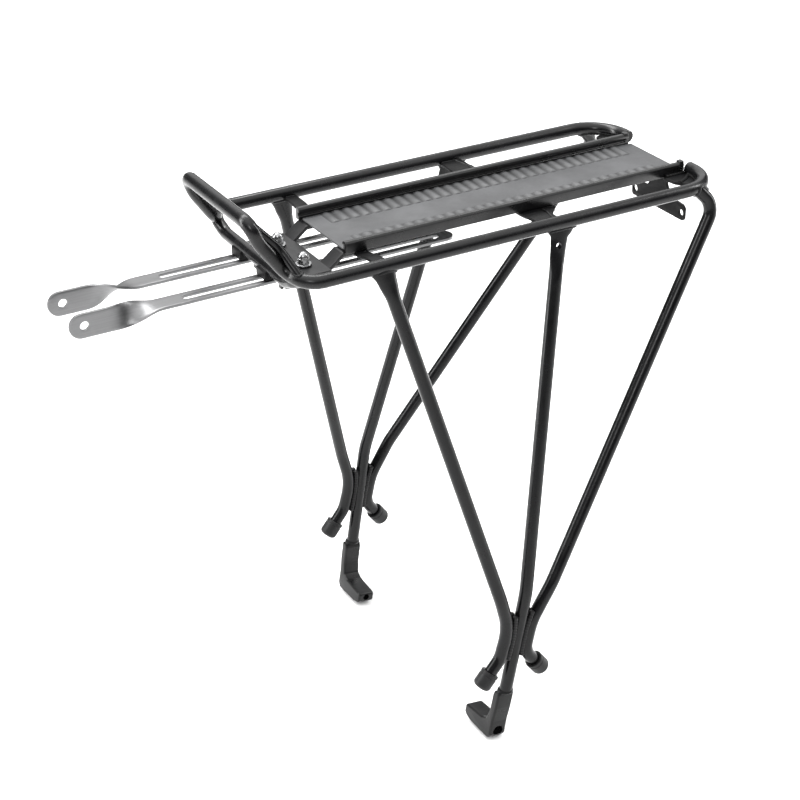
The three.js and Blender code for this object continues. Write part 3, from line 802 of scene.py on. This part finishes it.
# ---- hook webs ----
WEB_LOW, WEB_TOP = -5, -2.7
WEB = [(-200.5, 36.9), (-180, 36.9), (-182, 49), (-188, 57), (-196, 59), (-200.5, 54)]
web_mesh = machined(prism(rounded(WEB, 2.0), "z", WEB_LOW, WEB_TOP), "hook_web_fine", bevel=0.4)
show_pair("hook_web_fine", web_mesh, "frame", SHADED_SHEET, "sheet_black", "hook_web_{}")
web_edge = [Vector((x, y, -2.6)) for x, y in ((-200, 41.5), (-198.5, 52), (-193.5, 61.5), (-186, 66.5))]
web_root = [Vector((x, 37.6, -2.9)) for x in (-200, -190, -181.5)]
web_middle = [Vector((x, y, -3.1)) for x, y in ((-199, 43), (-193, 48), (-184, 52))]
web_welds = [bead(line, 1.7, closed=False, pitch=2.6) for line in (web_edge, web_root, web_middle)]
show_pair("hook_weld", to_mesh(merge(*web_welds), "hook_weld", sharp=60), "frame", SHADED_SHEET, "tube_black")

# ---- front bracket ----
BRACKET_T = 2.1
BASE = [
    (98, -36), (128, -36), (132, -44), (137.5, -44), (137.5, -31), (126, -28),
    (126, 28), (137.5, 31), (137.5, 44), (132, 44), (128, 36), (98, 36),
]
ARM = [
    (82, -6.8), (87.5, -6.8), (98, BASE_TOP - BRACKET_T), (102, BASE_TOP - BRACKET_T),
    (102, BASE_TOP), (99, BASE_TOP), (88.4, STRAP_TOP), (82, STRAP_TOP),
]
base = prism(rounded(BASE, 2.0), "z", BASE_TOP - BRACKET_T, BASE_TOP)
arms = [prism(ARM, "y", side * 26.5 - 6.5, side * 26.5 + 6.5) for side in (-1, 1)]
holes = [prism(disc(BOLT_X, side * STAY_Y, BOLT_HOLE_R), "z", -20, -5) for side in (-1, 1)]
bracket_mesh = machined(base, "front_bracket_fine", cutters=holes, adders=arms, bevel=0.4)
show("front_bracket_fine", bracket_mesh, "frame", SHEET, "sheet_black", "front_bracket")
bracket_welds = []
for side in (-1, 1):
    line = [Vector((x, side * y, -12.3)) for x, y in ((134, 32), (134, 43))]
    bracket_welds.append(bead(line, 1.2, closed=False))
bracket_weld = to_mesh(merge(*bracket_welds), "bracket_weld", sharp=60)
show("bracket_weld", bracket_weld, "frame", WELD, "tube_black")

# ---- saddles ----
SADDLE = [(134.1, -14.95), (143.9, -14.95), (143.9, -8.1), (134.1, -8.1)]
saddle = prism(rounded(SADDLE, 1.2), "y", 12.1, 25.9)
saddle_mesh = machined(saddle, "stay_saddle_fine", bevel=0.6)
show_pair("stay_saddle_fine", saddle_mesh, "frame", SHADED_SHEET, "sheet_black", "stay_saddle_{}")

# ---- lamp bracket ----
LAMP_REAR, LAMP_FRONT = -209.25, -207.2
LAMP_HOLE_Y, LAMP_HOLE_Z = 28.5, -40
LAMP = [
    (-32.4, -46), (32.4, -46), (32.4, -36), (30, -33.5), (14, -32), (9, -24), (9, -18),
    (-9, -18), (-9, -24), (-14, -32), (-30, -33.5), (-32.4, -36),
]
NECK = [
    (-209.2, -19), (-207.3, -19), (-207.3, -14.4), (-200.2, -6.4), (-172, -6.4), (-172, STRAP_TOP),
    (-201, STRAP_TOP), (-209.2, -13.2),
]
lamp = prism(rounded(LAMP, 3.0), "x", LAMP_REAR, LAMP_FRONT)
neck = prism(NECK, "y", -8.9, 8.9)
lamp_holes = [prism(disc(side * LAMP_HOLE_Y, LAMP_HOLE_Z, BOLT_HOLE_R), "x", -215, -200) for side in (-1, 1)]
lamp_mesh = machined(lamp, "lamp_bracket_fine", cutters=lamp_holes, adders=[neck], bevel=0.4)
show("lamp_bracket_fine", lamp_mesh, "frame", SHADED_SHEET, "sheet_black", "lamp_bracket")

# ---- stays ----
STAY_T = 2.0
STAY_MID_Z = -16.3
REAR_X, TIP_X = -7.0, 280.98
TWIST0, TWIST1 = 218.0, 255.0
STAY_R, TAB_R = 7.4, 8.6
TAB_DROP = 1.8
SLOT_REAR, SLOT_FRONT, SLOT_HALF = 4, 201.6, 3.0
TIP_HOLE_X, TIP_HOLE_R = 270.5, 3.1


def smooth(t):
    return t * t * (3 - 2 * t)


def stay_bm():
    """A strip with rounded ends that turns a quarter turn ahead of its slot."""
    stops = [REAR_X + STAY_R * (1 - math.cos(math.pi / 2 * k / 12)) for k in range(13)]
    x = REAR_X + STAY_R
    while x < TIP_X - TAB_R - 1.5:
        x += 2.4
        stops.append(min(x, TIP_X - TAB_R))
    if stops[-1] < TIP_X - TAB_R:
        stops.append(TIP_X - TAB_R)
    stops += [TIP_X - TAB_R + TAB_R * math.sin(math.pi / 2 * k / 14) for k in range(1, 15)]
    across = [-1 + 2 * k / 8 for k in range(9)]
    bm = bmesh.new()
    rings = []
    for x in stops:
        t = min(1.0, max(0.0, (x - TWIST0) / (TWIST1 - TWIST0)))
        half = STAY_R + (TAB_R - STAY_R) * smooth(t)
        if x < REAR_X + STAY_R:
            half = math.sqrt(max(1.2, STAY_R**2 - (REAR_X + STAY_R - x) ** 2))
        if x > TIP_X - TAB_R:
            half = math.sqrt(max(1.2, TAB_R**2 - (x - TIP_X + TAB_R) ** 2))
        angle = -smooth(t) * math.pi / 2
        ring = []
        for off in (-STAY_T / 2, STAY_T / 2):
            row = across if off < 0 else across[::-1]
            for s in row:
                side = s * half
                y = STAY_Y + side * math.cos(angle) - off * math.sin(angle)
                z = STAY_MID_Z - TAB_DROP * smooth(t) + side * math.sin(angle) + off * math.cos(angle)
                ring.append(bm.verts.new(at(x, y, z)))
        rings.append(ring)
    count = len(rings[0])
    for one, two in zip(rings, rings[1:]):
        for k in range(count):
            j = (k + 1) % count
            bm.faces.new((one[k], one[j], two[j], two[k]))
    bm.faces.new(rings[0])
    bm.faces.new(rings[-1])
    return bm


slot = prism(oblong(SLOT_REAR, SLOT_FRONT, STAY_Y, SLOT_HALF), "z", -22, -10)
tip_hole = prism(disc(TIP_HOLE_X, STAY_MID_Z - TAB_DROP, TIP_HOLE_R), "y", 0, 40)
stay_mesh = machined(stay_bm(), "stay_fine", cutters=[slot, tip_hole], bevel=0.22, segments=2, angle=50)
show_pair("stay_fine", stay_mesh, "stay_{}", STEEL, "brushed_steel", "stay_{}")

# ---- stay fixings ----
seat = BASE_TOP + 0.3
THREAD_LOW = -25.0
THREAD_PITCH = 0.8
DOME_R = 3.9
BOLT_SHANK = [(0, THREAD_LOW - 0.4), (1.9, THREAD_LOW - 0.4), (2.3, THREAD_LOW)]
for turn in range(5):
    crest = THREAD_LOW + THREAD_PITCH * turn + 0.2
    BOLT_SHANK += [(2.5, crest), (2.2, crest + 0.4)]
BOLT_SHANK += [(2.5, -20.8), (2.5, seat)]
WASHER = [(5.5, seat), (5.75, seat + 0.2), (5.75, seat + 1.0), (5.5, seat + 1.2)]
DOME = [(DOME_R, seat + 1.22)]
climb = [math.radians(9 * k) for k in range(10)]
DOME += [(DOME_R * math.cos(a), seat + 5.2 + 4.35 * math.sin(a)) for a in climb]
DOME += [(0, seat + 9.56)]
bolt_bm = aimed(lathe(BOLT_SHANK + WASHER + DOME), (BOLT_X, STAY_Y, 0), (0, 0, 1))
HEX_R = 8 / math.sqrt(3)
flats = prism(disc(BOLT_X, STAY_Y, HEX_R - 0.03, 6), "z", seat + 1.0, seat + 5.2)
bolt_mesh = machined(bolt_bm, "stay_bolt_fine", adders=[flats], bevel=0.25, segments=2, angle=40)
show_pair("stay_bolt_fine", bolt_mesh, "fixing_{}", ZINC, "zinc_steel", "stay_bolt_{}")

CLAMP_LOW, CLAMP_TOP = -19.55, -17.6
NOSE_REAR, NOSE_FRONT, NOSE_LOW = 127.95, 129.95, -25.95
CLAMP = [(101, 11), (120, 11), (124, 14), (124, 24), (120, 27), (101, 27)]
clamp = prism(rounded(CLAMP, 1.6), "z", CLAMP_LOW, CLAMP_TOP)
clamp_hole = prism(disc(BOLT_X, STAY_Y, BOLT_HOLE_R), "z", -25, -10)
NOSE = [
    (123, CLAMP_LOW), (NOSE_REAR, CLAMP_LOW), (NOSE_REAR, NOSE_LOW), (NOSE_FRONT, NOSE_LOW),
    (NOSE_FRONT, CLAMP_TOP - 0.05), (123, CLAMP_TOP - 0.05),
]
nose = prism(NOSE, "y", STAY_Y - 2.15, STAY_Y + 2.15)
clamp_mesh = machined(clamp, "clamp_plate_fine", cutters=[clamp_hole], adders=[nose], bevel=0.4)
show_pair("clamp_plate_fine", clamp_mesh, "fixing_{}", SHEET, "sheet_black", "clamp_plate_{}")

NUT_LOW, NUT_TOP = -23.85, -19.95
nut = prism(disc(BOLT_X, STAY_Y, HEX_R - 0.05, 6), "z", NUT_LOW, NUT_TOP)
nut_bore = prism(disc(BOLT_X, STAY_Y, 2.6), "z", -30, -15)
nut_mesh = machined(nut, "stay_nut_fine", cutters=[nut_bore], bevel=0.45)
show_pair("stay_nut_fine", nut_mesh, "fixing_{}", ZINC, "zinc_steel", "stay_nut_{}")


# ---- studio ----
def studio():
    scene = bpy.context.scene
    scene.view_settings.view_transform = "Standard"
    world = bpy.data.worlds.new("studio_world")
    world.use_nodes = True
    nodes, links = world.node_tree.nodes, world.node_tree.links
    where = nodes.new("ShaderNodeTexCoord")
    axes = nodes.new("ShaderNodeSeparateXYZ")
    rise = nodes.new("ShaderNodeMapRange")
    rise.inputs["From Min"].default_value = 0.42
    rise.inputs["To Min"].default_value = 0.1
    rise.inputs["To Max"].default_value = 2.5
    links.new(where.outputs["Generated"], axes.inputs["Vector"])
    links.new(axes.outputs["Z"], rise.inputs["Value"])
    links.new(rise.outputs["Result"], nodes["Background"].inputs["Strength"])
    nodes["Background"].inputs["Color"].default_value = (1, 1, 1, 1)
    scene.world = world

    floor_bm = bmesh.new()
    bmesh.ops.create_grid(floor_bm, x_segments=2, y_segments=2, size=14)
    floor_mesh = bpy.data.meshes.new("floor")
    floor_bm.to_mesh(floor_mesh)
    floor_bm.free()
    floor = bpy.data.objects.new("floor", floor_mesh)
    floor.location.z = cad_low.z - 0.0005
    scene.collection.objects.link(floor)
    pale = Nodes("pale_floor")
    shade = pale.mix(pale.noise(3), (0.93, 0.93, 0.93), (0.95, 0.95, 0.95))
    pale.link(shade, pale.shader.inputs["Base Color"])
    pale.shader.inputs["Roughness"].default_value = 0.9
    pale.shader.inputs["Specular IOR Level"].default_value = 0.1
    floor_mesh.materials.append(pale.material)

    centre = (cad_low + cad_high) / 2
    lamps = (
        ("left_strip", (1.35, -0.55, 0.55), 0.3, 1.6, 26),
        ("right_strip", (-1.45, 0.35, 0.6), 0.25, 1.6, 18),
        ("top_strip", (0.1, -0.7, 1.5), 1.6, 0.35, 24),
        ("front_soft", (1.1, 1.5, 1.3), 0.5, 0.5, 9),
        ("back_soft", (-0.75, -1.3, 0.85), 2.0, 0.8, 7),
    )
    for name, place, width, height, power in lamps:
        light = bpy.data.lights.new(name, "AREA")
        light.shape = "RECTANGLE"
        light.size = width
        light.size_y = height
        light.energy = power
        obj = bpy.data.objects.new(name, light)
        obj.location = centre + Vector(place)
        obj.rotation_mode = "QUATERNION"
        obj.rotation_quaternion = (centre - obj.location).to_track_quat("-Z", "Y")
        scene.collection.objects.link(obj)


def camera():
    """The view from the left front, above the platform."""
    data = bpy.data.cameras.new("camera")
    data.lens = 80.99
    data.sensor_width = 36
    data.clip_start = 0.05
    data.clip_end = 50
    obj = bpy.data.objects.new("camera", data)
    yaw, pitch = math.radians(30.564), math.radians(29.073)
    forward = Vector((-math.sin(yaw) * math.cos(pitch), -math.cos(yaw) * math.cos(pitch), -math.sin(pitch)))
    obj.location = at(620.9, 1010.7, 501.0)
    obj.rotation_mode = "QUATERNION"
    obj.rotation_quaternion = forward.to_track_quat("-Z", "Y")
    bpy.context.scene.collection.objects.link(obj)
    bpy.context.scene.camera = obj


studio()
camera()
